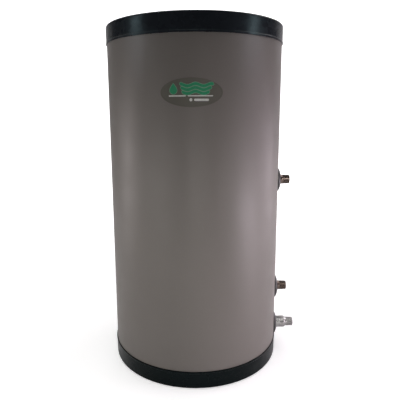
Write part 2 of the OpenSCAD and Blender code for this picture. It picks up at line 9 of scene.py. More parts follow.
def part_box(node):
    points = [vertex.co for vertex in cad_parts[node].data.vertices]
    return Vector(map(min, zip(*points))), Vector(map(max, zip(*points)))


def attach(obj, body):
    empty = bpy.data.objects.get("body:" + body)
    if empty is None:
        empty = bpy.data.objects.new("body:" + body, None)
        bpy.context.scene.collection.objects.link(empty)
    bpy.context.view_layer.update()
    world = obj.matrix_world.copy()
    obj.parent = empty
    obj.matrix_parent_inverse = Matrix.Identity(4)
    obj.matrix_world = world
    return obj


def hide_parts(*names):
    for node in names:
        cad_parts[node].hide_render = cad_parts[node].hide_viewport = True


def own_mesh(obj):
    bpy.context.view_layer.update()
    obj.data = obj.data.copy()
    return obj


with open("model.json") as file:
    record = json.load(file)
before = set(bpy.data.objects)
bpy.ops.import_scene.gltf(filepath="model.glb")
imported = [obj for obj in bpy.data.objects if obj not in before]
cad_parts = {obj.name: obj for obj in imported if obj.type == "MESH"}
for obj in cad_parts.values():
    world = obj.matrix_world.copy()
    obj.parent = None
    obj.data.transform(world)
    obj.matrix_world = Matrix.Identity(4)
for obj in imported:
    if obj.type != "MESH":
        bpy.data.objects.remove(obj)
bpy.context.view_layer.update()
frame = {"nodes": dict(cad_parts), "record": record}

nodes = frame["nodes"]
scene = bpy.context.scene
TAU = 2 * math.pi

# ---- camera, stage and light ----


def look(yaw, pitch, roll):
    """Rotation of a camera that looks along +Y, turned by yaw, tipped down by pitch, then rolled."""
    cy, sy, cp, sp = math.cos(yaw), math.sin(yaw), math.cos(pitch), math.sin(pitch)
    right = Vector((cy, sy, 0))
    forward = Vector((-sy * cp, cy * cp, -sp))
    up = Vector((-sy * sp, cy * sp, cp))
    x = right * math.cos(roll) + up * math.sin(roll)
    y = up * math.cos(roll) - right * math.sin(roll)
    return Matrix((x, y, -forward)).transposed()


EYE = (0, -1.5464, 0.8756)
YAW, PITCH, ROLL = 0.0020, math.radians(10.213), -0.0046

cam = bpy.data.objects.new("camera", bpy.data.cameras.new("camera"))
scene.collection.objects.link(cam)
cam.data.sensor_width = 36
cam.data.lens = 38.88
cam.data.shift_x = 0.0146
cam.data.shift_y = -0.0275
cam.matrix_world = Matrix.Translation(EYE) @ look(YAW, PITCH, ROLL).to_4x4()
scene.camera = cam


def softbox(name, at, to, size, watts, colour=(1, 1, 1), spread=180):
    """Rectangular light at one point, aimed at another; spread is in degrees. The camera can't see it."""
    data = bpy.data.lights.new(name, "AREA")
    data.shape = "RECTANGLE"
    data.size, data.size_y = size
    data.energy = watts
    data.color = colour
    data.spread = math.radians(spread)
    lamp = bpy.data.objects.new(name, data)
    lamp.location = at
    lamp.rotation_mode = "QUATERNION"
    lamp.rotation_quaternion = (Vector(to) - Vector(at)).to_track_quat("-Z", "Y")
    lamp.visible_camera = False
    scene.collection.objects.link(lamp)


softbox("right", (2.3, -0.3, 0.55), (0, 0, 0.45), (1.6, 1.4), 8.6, (1, 0.84, 0.97))
softbox("right_low", (1.9, -0.7, 0.12), (0, 0, 0.02), (0.8, 0.4), 4.0, (1, 0.88, 0.97), 80)
softbox("right_side", (1.9, 0.6, 0.35), (0, 0, 0.35), (0.7, 0.9), 1.5, (1, 0.86, 0.97), 80)
softbox("right_front", (1.6, -1.5, 0.40), (0.05, -0.1, 0.42), (1.2, 0.5), 0.75, (1, 0.94, 0.96), 60)
softbox("fittings", (0.52, -0.66, 0.86), (0.44, 0, 0.50), (0.3, 0.2), 0.34, (1, 0.98, 0.96), 48)
softbox("front", (0.1, -2.4, 0.5), (0.02, 0, 0.36), (0.8, 0.5), 0.48, (1, 0.98, 0.94), 34)
softbox("left", (-2.1, 0, 0.45), (0, 0, 0.40), (0.9, 0.9), 2.3, (1, 0.93, 0.92), 80)
softbox("left_front", (-1.6, -1.6, 0.35), (0, -0.1, 0.45), (1.6, 0.4), 1.25, (1, 0.97, 0.94), 60)
softbox("cap_right", (2.13, -0.66, 1.50), (0.17, -0.245, 1.16), (0.8, 0.3), 0.10, (0.86, 0.92, 1), 12)
softbox("cap_left", (-2.11, -0.71, 1.50), (-0.17, -0.245, 1.16), (0.8, 0.3), 0.09, (0.86, 0.92, 1), 12)
softbox("overhead_left", (-1.5, 1.2, 3.4), (-1.5, 1.2, 0), (3.2, 3.8), 62)
softbox("overhead_right", (2.6, 1.2, 3.4), (2.6, 1.2, 0), (2.0, 3.8), 80, (1, 0.95, 0.98))
softbox("floor", (0, -1.25, 2.6), (0, -1.25, 0), (3.2, 1.3), 8, (1, 1, 1), 60)

WHITE = (1, 1, 1, 1)
FILL, BEYOND = 0.04, 1.0    # how bright the world is as a light, and as the camera sees it


def white_world():
    """World that lights the scene faintly, and that the camera alone sees as plain white."""
    world = bpy.data.worlds.new("world")
    world.use_nodes = True
    sky = world.node_tree
    fill = sky.nodes["Background"]
    fill.inputs["Color"].default_value = WHITE
    fill.inputs["Strength"].default_value = FILL
    beyond = sky.nodes.new("ShaderNodeBackground")
    beyond.inputs["Color"].default_value = WHITE
    beyond.inputs["Strength"].default_value = BEYOND
    seen = sky.nodes.new("ShaderNodeLightPath")
    either = sky.nodes.new("ShaderNodeMixShader")
    sky.links.new(seen.outputs["Is Camera Ray"], either.inputs[0])
    sky.links.new(fill.outputs[0], either.inputs[1])
    sky.links.new(beyond.outputs[0], either.inputs[2])
    sky.links.new(either.outputs[0], sky.nodes["World Output"].inputs["Surface"])
    return world


scene.world = white_world()
scene.view_settings.view_transform = "Standard"

FLOOR_FRONT, FLOOR_BACK, WALL_TOP, HALF_WIDTH = -4.0, 2.2, 6.0, 6.0
CURVE_R, CURVE_STEPS = 1.2, 12
FLOOR_DROP = 0.0006    # the paper lies this far under the base cap


def cove():
    """Floor that curves up into a back wall."""
    profile = [(FLOOR_FRONT, 0.0), (FLOOR_BACK, 0.0)]
    for i in range(1, CURVE_STEPS + 1):
        a = i * math.pi / 2 / CURVE_STEPS
        profile.append((FLOOR_BACK + math.sin(a) * CURVE_R, CURVE_R - math.cos(a) * CURVE_R))
    profile.append((FLOOR_BACK + CURVE_R, WALL_TOP))
    verts = [(x, y, z - FLOOR_DROP) for x in (-HALF_WIDTH, HALF_WIDTH) for y, z in profile]
    n = len(profile)
    faces = [(i, i + n, i + n + 1, i + 1) for i in range(n - 1)]
    mesh = bpy.data.meshes.new("backdrop")
    mesh.from_pydata(verts, [], faces)
    for p in mesh.polygons:
        p.use_smooth = True
    thing = bpy.data.objects.new("backdrop", mesh)
    scene.collection.objects.link(thing)
    return thing


# ---- materials ----


class Mat:
    """A node material built a few calls at a time."""

    def __init__(self, name):
        self.mat = bpy.data.materials.new(name)
        self.mat.use_nodes = True
        self.tree = self.mat.node_tree
        self.tree.nodes.clear()
        self.out = self.tree.nodes.new("ShaderNodeOutputMaterial")
        self.bsdf = self.tree.nodes.new("ShaderNodeBsdfPrincipled")
        self.tree.links.new(self.bsdf.outputs[0], self.out.inputs["Surface"])
        self.coords = self.tree.nodes.new("ShaderNodeTexCoord").outputs["Object"]

    def node(self, kind, **settings):
        n = self.tree.nodes.new(kind)
        for k, v in settings.items():
            setattr(n, k, v)
        return n

    def link(self, a, b):
        self.tree.links.new(a, b)

    def set(self, **values):
        for k, v in values.items():
            self.bsdf.inputs[k.replace("_", " ")].default_value = v
        return self

    def stretched(self, scale):
        """The object's own coordinates, scaled along each axis."""
        m = self.node("ShaderNodeMapping")
        m.inputs["Scale"].default_value = scale
        self.link(self.coords, m.inputs["Vector"])
        return m.outputs["Vector"]

    def noise(self, scale, detail, rough=0.5, stretch=None):
        n = self.node("ShaderNodeTexNoise")
        n.inputs["Scale"].default_value = scale
        n.inputs["Detail"].default_value = detail
        n.inputs["Roughness"].default_value = rough
        self.link(self.stretched(stretch) if stretch else self.coords, n.inputs["Vector"])
        return n.outputs["Fac"]

    def cells(self, scale):
        n = self.node("ShaderNodeTexVoronoi")
        n.inputs["Scale"].default_value = scale
        self.link(self.coords, n.inputs["Vector"])
        return n.outputs["Distance"]

    def ramp(self, value, lo, hi, a, b):
        """Value's range from lo to hi, drawn out to run from a to b."""
        n = self.node("ShaderNodeMapRange")
        n.inputs["From Min"].default_value = lo
        n.inputs["From Max"].default_value = hi
        n.inputs["To Min"].default_value = a
        n.inputs["To Max"].default_value = b
        self.link(value, n.inputs["Value"])
        return n.outputs["Result"]

    def mix(self, value, a, b):
        """Colour a where value is 0, b where it is 1. Either may be another node's output."""
        n = self.node("ShaderNodeMix", data_type="RGBA")
        self.link(value, n.inputs["Factor"])
        for name, c in (("A", a), ("B", b)):
            s = [i for i in n.inputs if i.name == name and i.type == "RGBA"][0]
            if isinstance(c, tuple):
                s.default_value = (*c, 1)
            else:
                self.link(c, s)
        return [o for o in n.outputs if o.type == "RGBA"][0]

    def colour(self, value):
        self.link(value, self.bsdf.inputs["Base Color"])
        return self

    def rough(self, value):
        self.link(value, self.bsdf.inputs["Roughness"])
        return self

    def bump(self, *layers):
        """Each layer is (height, depth in metres)."""
        last = None
        for height, depth in layers:
            n = self.node("ShaderNodeBump")
            n.inputs["Distance"].default_value = depth
            self.link(height, n.inputs["Height"])
            if last is not None:
                self.link(last, n.inputs["Normal"])
            last = n.outputs["Normal"]
        self.link(last, self.bsdf.inputs["Normal"])
        return self


def powder_coat():
    m = Mat("jacket_paint").set(Specular_IOR_Level=0.45)
    cloud, fleck = m.noise(2.5, 3), m.noise(420, 2)
    base = m.mix(m.ramp(cloud, 0.3, 0.7, 0, 1), (0.123, 0.1115, 0.1005), (0.136, 0.123, 0.1125))
    m.colour(m.mix(m.ramp(fleck, 0.62, 0.75, 0, 0.35), base, (0.185, 0.170, 0.160)))
    m.rough(m.ramp(m.noise(14, 3), 0.3, 0.7, 0.40, 0.48))
    return m.bump((m.noise(700, 2), 0.00006), (m.noise(38, 1), 0.00012)).mat


def moulding(name, tint, rough, shine, shine_tint=WHITE):
    """Moulded plastic with a fine grain."""
    m = Mat(name).set(Specular_IOR_Level=shine, Specular_Tint=shine_tint)
    m.colour(m.mix(m.ramp(m.noise(5, 4), 0.35, 0.65, 0, 1), tint, tuple(c * 1.35 for c in tint)))
    m.rough(m.ramp(m.noise(22, 4), 0.3, 0.7, rough, rough + 0.10))
    return m.bump((m.cells(620), 0.00004), (m.noise(14, 2), 0.00008)).mat


def rubber(name, tint, rough):
    m = Mat(name).set(Specular_IOR_Level=0.5)
    m.colour(m.mix(m.ramp(m.noise(60, 4), 0.4, 0.7, 0, 1), tint, tuple(c * 1.8 + 0.004 for c in tint)))
    m.rough(m.ramp(m.noise(90, 3), 0.3, 0.7, rough, rough + 0.12))
    return m.bump((m.noise(900, 2), 0.00003)).mat


def metal(name, tint, dark, rough, turned=None, blotch=30, grain=0.00002):
    """Metal with blotches of a darker tone; turned is the axis that its turning marks run round."""
    m = Mat(name).set(Metallic=1.0)
    m.colour(m.mix(m.ramp(m.noise(blotch, 5, 0.6), 0.42, 0.68, 0, 1), tint, dark))
    stretch = tuple(900.0 if a == turned else 12.0 for a in "xyz") if turned else (260.0, 260.0, 260.0)
    lines = m.noise(1.0, 2, stretch=stretch)
    m.rough(m.ramp(lines, 0.3, 0.7, rough, rough + 0.12))
    return m.bump((lines, grain)).mat


def foam():
    m = Mat("foam").set(Roughness=0.9)
    cells = m.cells(300)
    m.colour(m.mix(m.ramp(cells, 0.0, 0.6, 0, 1), (0.52, 0.42, 0.20), (0.74, 0.65, 0.40)))
    return m.bump((cells, 0.0006), (m.noise(12, 3), 0.002)).mat


def paint(name, tint, rough=0.35):
    m = Mat(name).set(Coat_Weight=0.3)
    m.colour(m.mix(m.ramp(m.noise(45, 4), 0.4, 0.7, 0, 1), tint, tuple(c * 0.7 for c in tint)))
    m.rough(m.ramp(m.noise(120, 3), 0.3, 0.7, rough, rough + 0.12))
    return m.bump((m.noise(500, 2), 0.00005)).mat


def ink(name, tint):
    m = Mat(name).set(Specular_IOR_Level=0.5)
    m.colour(m.mix(m.ramp(m.noise(160, 3), 0.35, 0.7, 0, 1), tint, tuple(c * 0.82 for c in tint)))
    return m.rough(m.ramp(m.noise(240, 2), 0.3, 0.7, 0.34, 0.44)).mat


COOL = (0.65, 1.0, 1.0, 1)    # tint of the black plastic's shine

finish = {
    "jacket_paint": powder_coat(),
    "moulded_plastic": moulding("cap_plastic", (0.0090, 0.0105, 0.0130), 0.22, 0.10, COOL),
    # The base cap's plastic is a darker copy of the cap plastic: painted shade for the shade it sits in,
    # since both caps are one moulded plastic.
    "base_cap_shaded_plastic": moulding("base_cap_shaded_plastic", (0.0014, 0.0016, 0.0020), 0.22, 0.13, COOL),
    "zinc_steel": metal("rivet_alloy", (0.62, 0.62, 0.61), (0.42, 0.42, 0.42), 0.32),
    "badge_print": moulding("badge_base", (0.078, 0.074, 0.062), 0.34, 0.35),
    "plate_aluminium": metal("plate_alloy", (0.74, 0.74, 0.73), (0.60, 0.60, 0.60), 0.34, "x"),
    "foam": foam(),
    "black_steel": paint("primer", (0.030, 0.030, 0.032), 0.5),
    "stainless": metal("tank_stainless", (0.58, 0.57, 0.55), (0.48, 0.47, 0.45), 0.30, "z", 8),
    "cupronickel": metal("coil_metal", (0.62, 0.40, 0.30), (0.40, 0.26, 0.20), 0.32, None, 20),
    "brown_steel": metal("nipple_steel", (0.150, 0.120, 0.103), (0.095, 0.070, 0.060), 0.22, "x", 60),
    "black_rubber": rubber("grommet_rubber", (0.007, 0.0062, 0.0065), 0.28),
    "bright_steel": metal("fitting_steel", (0.47, 0.465, 0.46), (0.36, 0.35, 0.345), 0.24, "x", 50),
    "valve_brass": metal("cast_brass", (0.72, 0.53, 0.25), (0.50, 0.35, 0.16), 0.36, None, 70, 0.00008),
    "turned_brass": metal("turned_brass", (0.80, 0.60, 0.29), (0.62, 0.44, 0.20), 0.24, "z", 70),
    "spring_steel": metal("spring_wire", (0.66, 0.66, 0.66), (0.50, 0.50, 0.50), 0.25),
    "lever_paint": paint("lever_enamel", (0.42, 0.035, 0.025)),
    "probe_plastic": paint("probe_coating", (0.32, 0.20, 0.11), 0.5),
    "badge_green": ink("green_ink", (0.014, 0.215, 0.096)),
    "badge_edge": ink("pale_green_ink", (0.150, 0.260, 0.180)),
    "badge_white": ink("white_ink", (0.560, 0.570, 0.540)),
}
for part in frame["record"]["subparts"]:
    # The base cap takes the darker copy of the cap plastic, which paints shade on it.
    look_name = "base_cap_shaded_plastic" if part["node"] == "base_cap" else part["material_slot"]
    mesh = nodes[part["node"]].data
    mesh.materials.clear()
    mesh.materials.append(finish[look_name])


# ---- shapes ----


def rounded(corners, steps=5):
    """A closed outline from corners (x, y, radius), each rounded to its radius."""
    points = []
    for i, (x, y, radius) in enumerate(corners):
        corner = Vector((x, y))
        if radius == 0:
            points.append((x, y))
            continue
        u = (Vector(corners[i - 1][:2]) - corner).normalized()
        v = (Vector(corners[(i + 1) % len(corners)][:2]) - corner).normalized()
        half = u.angle(v) / 2
        centre = corner + (u + v).normalized() * radius / math.sin(half)
        start = corner + u * radius / math.tan(half) - centre
        end = corner + v * radius / math.tan(half) - centre
        turn = start.angle_signed(end)
        for k in range(steps + 1):
            a = math.atan2(start.y, start.x) - turn * k / steps
            points.append((centre.x + radius * math.cos(a), centre.y + radius * math.sin(a)))
    return points


def solid(name, verts, faces, sharp=35):
    """A tidied closed mesh; edges that bend by more than sharp, in degrees, are kept sharp."""
    mesh = bpy.data.meshes.new(name)
    mesh.from_pydata(verts, [], faces)
    thing = bpy.data.objects.new(name, mesh)
    scene.collection.objects.link(thing)
    return tidy(thing, sharp)


def tidy(thing, sharp=35):
    """Merges doubles, drops stray edges, turns normals outwards, and smooths all but the sharp edges."""
    bm = bmesh.new()
    bm.from_mesh(thing.data)
    bmesh.ops.remove_doubles(bm, verts=bm.verts, dist=1e-6)
    bmesh.ops.dissolve_degenerate(bm, edges=bm.edges, dist=1e-6)
    bmesh.ops.delete(bm, geom=[edge for edge in bm.edges if not edge.link_faces], context="EDGES")
    bmesh.ops.recalc_face_normals(bm, faces=bm.faces)
    for face in bm.faces:
        face.smooth = True
    for edge in bm.edges:
        edge.smooth = len(edge.link_faces) == 2 and edge.calc_face_angle() < math.radians(sharp)
    bm.to_mesh(thing.data)
    bm.free()
    return thing


def grid(columns, rows_closed=True, columns_closed=True):
    """Faces over a list of columns of points, all of one length."""
    wide, tall = len(columns), len(columns[0])
    verts = [v for column in columns for v in column]
    faces = []
    for i in range(wide if columns_closed else wide - 1):
        j = (i + 1) % wide
        for k in range(tall if rows_closed else tall - 1):
            m = (k + 1) % tall
            faces.append((i * tall + k, j * tall + k, j * tall + m, i * tall + m))
    return verts, faces


def lathe(name, outline, steps=96):
    """An outline of (radius, height) in millimetres, turned about Z."""
    columns = []
    for i in range(steps):
        a = TAU * i / steps
        columns.append([(r * math.cos(a) * MM, r * math.sin(a) * MM, z * MM) for r, z in outline])
    return solid(name, *grid(columns))


def slab(name, outline, low, high):
    """An outline in XY, in millimetres, drawn up from one height to another."""
    n = len(outline)
    verts = [(x * MM, y * MM, z * MM) for z in (low, high) for x, y in outline]
    faces = [tuple(range(n)), tuple(range(n, 2 * n))]
    faces += [(i, (i + 1) % n, n + (i + 1) % n, n + i) for i in range(n)]
    return solid(name, verts, faces)


def circle(r, steps=48):
    """Outline of a circle round the origin."""
    return [(r * math.cos(TAU * i / steps), r * math.sin(TAU * i / steps)) for i in range(steps)]


def bake(thing):
    """Replaces an object's mesh with what its modifiers make of it."""
    made = bpy.data.meshes.new_from_object(thing.evaluated_get(bpy.context.evaluated_depsgraph_get()))
    thing.modifiers.clear()
    thing.data = made
    return thing


def combine(base, other, how):
    """Base joined with, or cut by, another object, which goes."""
    step = base.modifiers.new(how, "BOOLEAN")
    step.operation = how
    step.solver = "EXACT"
    step.object = other
    bake(base)
    bpy.data.objects.remove(other)
    return base


def soften(thing, width):
    """Bevels the sharp edges of a finished shape; width in millimetres."""
    tidy(thing)
    step = thing.modifiers.new("soften", "BEVEL")
    step.width = width * MM
    step.segments = 2
    step.limit_method = "ANGLE"
    step.angle_limit = math.radians(40)
    bake(thing)
    return tidy(thing, 50)


def moved(thing, matrix):
    """Moves an object's mesh, and leaves its origin where it is."""
    thing.data.transform(matrix)
    return thing


def fit(thing, slot, body, *stands_for, look=None):
    """Gives a piece its finish and its body, and hides the CAD nodes it stands for."""
    thing.data.materials.clear()
    thing.data.materials.append(finish[look or slot])
    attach(thing, body)
    if stands_for:
        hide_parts(*stands_for)
    return thing


MM = 0.001
TO_X = Matrix.Rotation(math.pi / 2, 4, "Y")
TO_Y = Matrix.Rotation(-math.pi / 2, 4, "X")
mount = {m["name"]: Vector(m["pos_m"]) for m in frame["record"]["mounts"]}
jacket_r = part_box("jacket")[1][0]
OUTLET_L = 38    # from the relief valve's axis to its outlet's mouth
valve_y = mount["relief_outlet"].y - OUTLET_L * MM


def shift(x=0, y=0, z=0):
    """A move by metres."""
    return Matrix.Translation((x, y, z))


# ---- threaded pipes ----

PIPE_R, BORE_R, CREST_R = 16.7, 13.3, 16.6
THREAD_L, PITCH, THREAD_DEPTH, TAPER = 26.0, 2.209, 0.95, 1 / 32
ROOT_END, CREST_START, CREST_END = 0.18, 0.42, 0.76    # places in the thread's section, as shares of a turn
END_WALL, BORE_EDGE = 1.5, 0.6    # wall left at the pipe's cut-back end, and its bore's cut edge
SHOULDER = 0.2    # the slope from the thread up to the pipe's skin
GAP = 0.1    # between a pipe and a ring round it


def thread_wave(turn):
    """Height of the thread's section, 0 at the root to 1 at the crest, over one turn."""
    t = turn % 1
    if t < CREST_START:
        return max(0, (t - ROOT_END) / (CREST_START - ROOT_END))
    return min(1, (1 - t) / (1 - CREST_END))


def thread_r(s, turn):
    """Radius at a distance s from the end: tapered, cut back there, and running out into the pipe."""
    crest = CREST_R - TAPER * (THREAD_L - s)
    run_out = min(1, (THREAD_L - s) / (2 * PITCH))
    cut = THREAD_DEPTH * (1 - thread_wave(s / PITCH - turn)) * run_out
    return min(crest - cut, BORE_R + END_WALL + s)


def threaded_pipe(name, length, columns=72):
    """Pipe along Z with its threaded end at the origin. Each column climbs with the thread."""
    made = []
    for i in range(columns + 1):
        turn = i / columns
        column = [(BORE_R, length), (BORE_R, BORE_EDGE), (BORE_R + BORE_EDGE, 0)]
        for t in range(-1, math.ceil(THREAD_L / PITCH) + 1):
            for phase in (0, ROOT_END, CREST_START, CREST_END):
                s = min(max((t + phase + turn) * PITCH, 0), THREAD_L)
                column.append((thread_r(s, turn), s))
        column += [(PIPE_R, THREAD_L + SHOULDER), (PIPE_R, length)]
        a = TAU * turn
        made.append([(r * math.cos(a) * MM, r * math.sin(a) * MM, -s * MM) for r, s in column])
    return solid(name, *grid(made, columns_closed=False))


side_ports = {"boiler_inlet": "brown_steel", "boiler_return": "brown_steel", "cold_inlet": "bright_steel"}
for port, slot in side_ports.items():
    node = port + "_nipple"
    low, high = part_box(node)
    pipe = threaded_pipe(node + "_threaded", (high[0] - low[0]) / MM)
    moved(pipe, Matrix.Translation(mount[port]) @ TO_X)
    fit(pipe, slot, "heater", node)

low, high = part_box("hot_outlet_nipple")
pipe = threaded_pipe("hot_outlet_nipple_threaded", (high[2] - low[2]) / MM)
moved(pipe, Matrix.Translation(mount["hot_outlet"]))
fit(pipe, "bright_steel", "heater", "hot_outlet_nipple")

COLLAR_L, COLLAR_DROP, MOUTH = 4.5, 0.5, 2.0    # the coupling's smaller collar, and its bore's cut edge
low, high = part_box("cold_inlet_coupling")
coupling_l = (high[0] - low[0]) / MM
coupling_r = (high[2] - low[2]) / 2 / MM
coupling = lathe("cold_inlet_coupling_turned", rounded([
    (PIPE_R + GAP, 0, 0), (coupling_r, 0, 1.0), (coupling_r, coupling_l - COLLAR_L, 0.3),
    (coupling_r - COLLAR_DROP, coupling_l - COLLAR_L + 0.3, 0.2),
    (coupling_r - COLLAR_DROP, coupling_l, 1.6),
    (PIPE_R + GAP + MOUTH, coupling_l, 0.3), (PIPE_R + GAP, coupling_l - MOUTH, 0),
]))
moved(coupling, shift(low[0], 0, mount["cold_inlet"].z) @ TO_X)
fit(coupling, "bright_steel", "heater", "cold_inlet_coupling")


# ---- grommets ----

LIP, LIP_DROP, LIP_STEPS = 2.5, 1.5, 5
SIDE_D, SIDE_H, SIDE_FOOT, SIDE_SPIGOT = 88.0, 13.5, 6.0, (21.7, 7)
WELL_D, WELL_H, WELL_BORE_R, WELL_FOOT, WELL_SPIGOT = 38, 3.5, 8.05, 3, (12.9, 7)
HOT_D, HOT_H = 74, 8
VALVE_D, VALVE_H, VALVE_BORE_R = 60, 3, 18.1
TRIM_H, SPIGOT_OVERLAP = 60, 1
CAP_GAP, CAP_BELOW = 0.3, 5    # round the base cap, where the lowest grommet is cut away for it


def dome(name, d, h, bore_r, foot=0.0, steps=18):
    """Domed ring along Z, on a foot, with a rounded lip round the pipe in its bore."""
    rim = math.acos((bore_r + LIP) / (d / 2))
    outline = [(bore_r, -foot), (d / 2, -foot)]
    for i in range(steps + 1):
        turn = rim * i / steps
        outline.append((d / 2 * math.cos(turn), h * math.sin(turn)))
    top = outline[-1][1]
    for i in range(1, LIP_STEPS + 1):
        turn = math.pi / 2 * i / LIP_STEPS
        outline.append((bore_r + LIP * (1 - math.sin(turn)), top - LIP_DROP * (1 - math.cos(turn))))
    return lathe(name, outline)


def drum(name, r, low, high, steps=480):
    """A plain cylinder along Z, from one height to another; sizes in millimetres."""
    return lathe(name, [(0, low), (r, low), (r, high), (0, high)], steps)


def side_grommet(node, z, turn, d, h, bore_r, foot, spigot=None):
    """Grommet on the jacket's side, trimmed to it. A spigot, (outer radius, length), lines the hole."""
    out = shift(jacket_r, 0, z) @ TO_X
    thing = moved(dome(node + "_moulded", d, h, bore_r, foot), out)
    combine(thing, moved(drum("trim", jacket_r / MM + GAP, -TRIM_H, TRIM_H), shift(z=z)), "DIFFERENCE")
    if spigot:
        r, length = spigot
        top = SPIGOT_OVERLAP
        sleeve = lathe("sleeve", [(bore_r, -length), (r, -length), (r, top), (bore_r, top)])
        combine(thing, moved(sleeve, out), "UNION")
    moved(tidy(thing), Matrix.Rotation(turn, 4, "Z"))
    return thing


for port in ("boiler_inlet", "boiler_return"):
    node = port + "_grommet"
    grommet = side_grommet(node, mount[port].z, 0, SIDE_D, SIDE_H, PIPE_R + GAP, SIDE_FOOT, SIDE_SPIGOT)
    fit(grommet, "black_rubber", "heater", node)

grommet = side_grommet("cold_inlet_grommet", mount["cold_inlet"].z, 0,
                       SIDE_D, SIDE_H, coupling_r + GAP, SIDE_FOOT)
cap_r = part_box("base_cap")[1][0] / MM + CAP_GAP
cap_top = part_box("base_cap")[1][2] / MM + CAP_GAP
combine(grommet, drum("cap", cap_r, -CAP_BELOW, cap_top), "DIFFERENCE")
fit(tidy(grommet), "black_rubber", "heater", "cold_inlet_grommet")

grommet = side_grommet("sensor_well_grommet", mount["sensor_well"].z, math.pi / 2,
                       WELL_D, WELL_H, WELL_BORE_R, WELL_FOOT, WELL_SPIGOT)
fit(grommet, "black_rubber", "heater", "sensor_well_grommet")

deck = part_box("hot_outlet_grommet")[0][2]
grommet = moved(dome("hot_outlet_grommet_moulded", HOT_D, HOT_H, PIPE_R + GAP), shift(z=deck))
fit(grommet, "black_rubber", "heater", "hot_outlet_grommet")
grommet = dome("relief_valve_grommet_moulded", VALVE_D, VALVE_H, VALVE_BORE_R)
moved(grommet, shift(0, valve_y, deck))
fit(grommet, "black_rubber", "heater", "relief_valve_grommet")


# ---- badge and plate, wrapped round the jacket ----


UNDER = 0.02    # how far a sticker's or plate's underside stands off the paint


def on_jacket(u, v, h, turn, z):
    """Point u along the jacket from a turn, v above z and h off the paint; u, v and h in millimetres."""
    a = turn + u * MM / jacket_r
    r = jacket_r + h * MM
    return (r * math.sin(a), -r * math.cos(a), z + v * MM)


def wrapped_plate(name, outline_at, rings, turn, z, inner=14):
    """Plate whose edge goes through rings of (inset, height), then closes over its middle."""
    columns = []
    last, height = rings[-1]
    for k in range(len(outline_at(0))):
        column = [on_jacket(*outline_at(inset)[k], h, turn, z) for inset, h in rings]
        u, v = outline_at(last)[k]
        for j in range(1, inner + 1):
            share = 1 - j / inner
            column.append(on_jacket(u * share, v * share, height, turn, z))
        column += [on_jacket(u * j / inner, v * j / inner, UNDER, turn, z) for j in range(inner)]
        columns.append(column)
    return solid(name, *grid(columns), sharp=50)


def oval(inset, half_w=91.0, half_h=41.0, steps=96):
    """The badge's outline, drawn in by an inset."""
    return [((half_w - inset) * math.cos(TAU * i / steps), (half_h - inset) * math.sin(TAU * i / steps))
            for i in range(steps)]


EDGE_CUTS, LONG_EDGE = 12, 20


def card(inset, half_w=60.0, half_h=45.0, corner=4.0):
    """The rating plate's outline, drawn in by an inset, with long edges cut up to bend round the jacket."""
    w, h = half_w - inset, half_h - inset
    r = max(corner - inset, 0.5)
    outline = rounded([(-w, -h, r), (w, -h, r), (w, h, r), (-w, h, r)], 6)
    points = []
    for i, (x, y) in enumerate(outline):
        nx, ny = outline[(i + 1) % len(outline)]
        cuts = EDGE_CUTS if math.hypot(nx - x, ny - y) > LONG_EDGE else 1
        points += [(x + (nx - x) * j / cuts, y + (ny - y) * j / cuts) for j in range(cuts)]
    return points


badge_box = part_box("badge")
badge_z = (badge_box[0][2] + badge_box[1][2]) / 2
badge_turn = sum(math.asin(corner[0] / jacket_r) for corner in badge_box) / 2
badge_rings = [(0, UNDER), (0, 0.36), (0.4, 0.5), (1.6, 0.5), (2.0, 0.4)]
badge = wrapped_plate("badge_oval", oval, badge_rings, badge_turn, badge_z)
fit(badge, "badge_print", "heater", "badge")

plate_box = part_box("rating_plate")
plate_z = (plate_box[0][2] + plate_box[1][2]) / 2
plate_rings = [(0, UNDER), (0, 0.3), (0.3, 0.4), (3.5, 0.4), (3.9, 0.62), (4.7, 0.62), (5.1, 0.4)]
plate = wrapped_plate("rating_plate_embossed", card, plate_rings, math.pi, plate_z)
fit(plate, "plate_aluminium", "heater", "rating_plate")


INK_FOOT, INK_TOP, EDGE_TOP = 0.3, 0.47, 0.44    # heights off the paint; the pale edge lies under the green
INK_LEAST = 0.05    # half the width of ink where its two curves meet
EDGE = 1.3    # how far the pale edge shows round a mark
WAVE_H, WAVE_L = 3.2, 46


def print_band(name, colour, u0, u1, low, high, top, steps=40):
    """Thin layer of ink on the badge between two curves, each a function of u."""
    columns = []
    for i in range(steps + 1):
        u = u0 + (u1 - u0) * i / steps
        a, b = low(u) - INK_LEAST, high(u) + INK_LEAST
        section = ((a, INK_FOOT), (b, INK_FOOT), (b, top), (a, top))
        columns.append([on_jacket(u, v, h, badge_turn, badge_z) for v, h in section])
    verts, faces = grid(columns, columns_closed=False)
    last = len(verts) - 4
    faces += [(0, 1, 2, 3), (last, last + 1, last + 2, last + 3)]
    return fit(solid(name, verts, faces), "badge_print", "heater", look=colour)


def mark(name, colour, middle, half_h, u0, u1, bend=0.0, top=INK_TOP):
    """A band of ink with round ends, bent by a share of a wave."""
    def half(u):
        near = min(u - u0, u1 - u, half_h)
        return math.sqrt(max(half_h ** 2 - (half_h - near) ** 2, 0))

    def centre(u):
        return middle + bend * (WAVE_H * math.sin(TAU * u / WAVE_L))

    print_band(name, colour, u0, u1, lambda u: centre(u) - half(u), lambda u: centre(u) + half(u), top)


def drop(name, colour, u, v, r, peak, top=INK_TOP):
    """A water drop: a circle of radius r round (u, v), drawn up into a peak."""
    def half(at):
        return math.sqrt(max(r ** 2 - (at - u) ** 2, 0))

    def point(at):
        return peak * max(1 - abs(at - u) / r, 0) ** 1.6

    print_band(name, colour, u - r, u + r,
               lambda at: v - half(at), lambda at: v + half(at) + point(at), top)


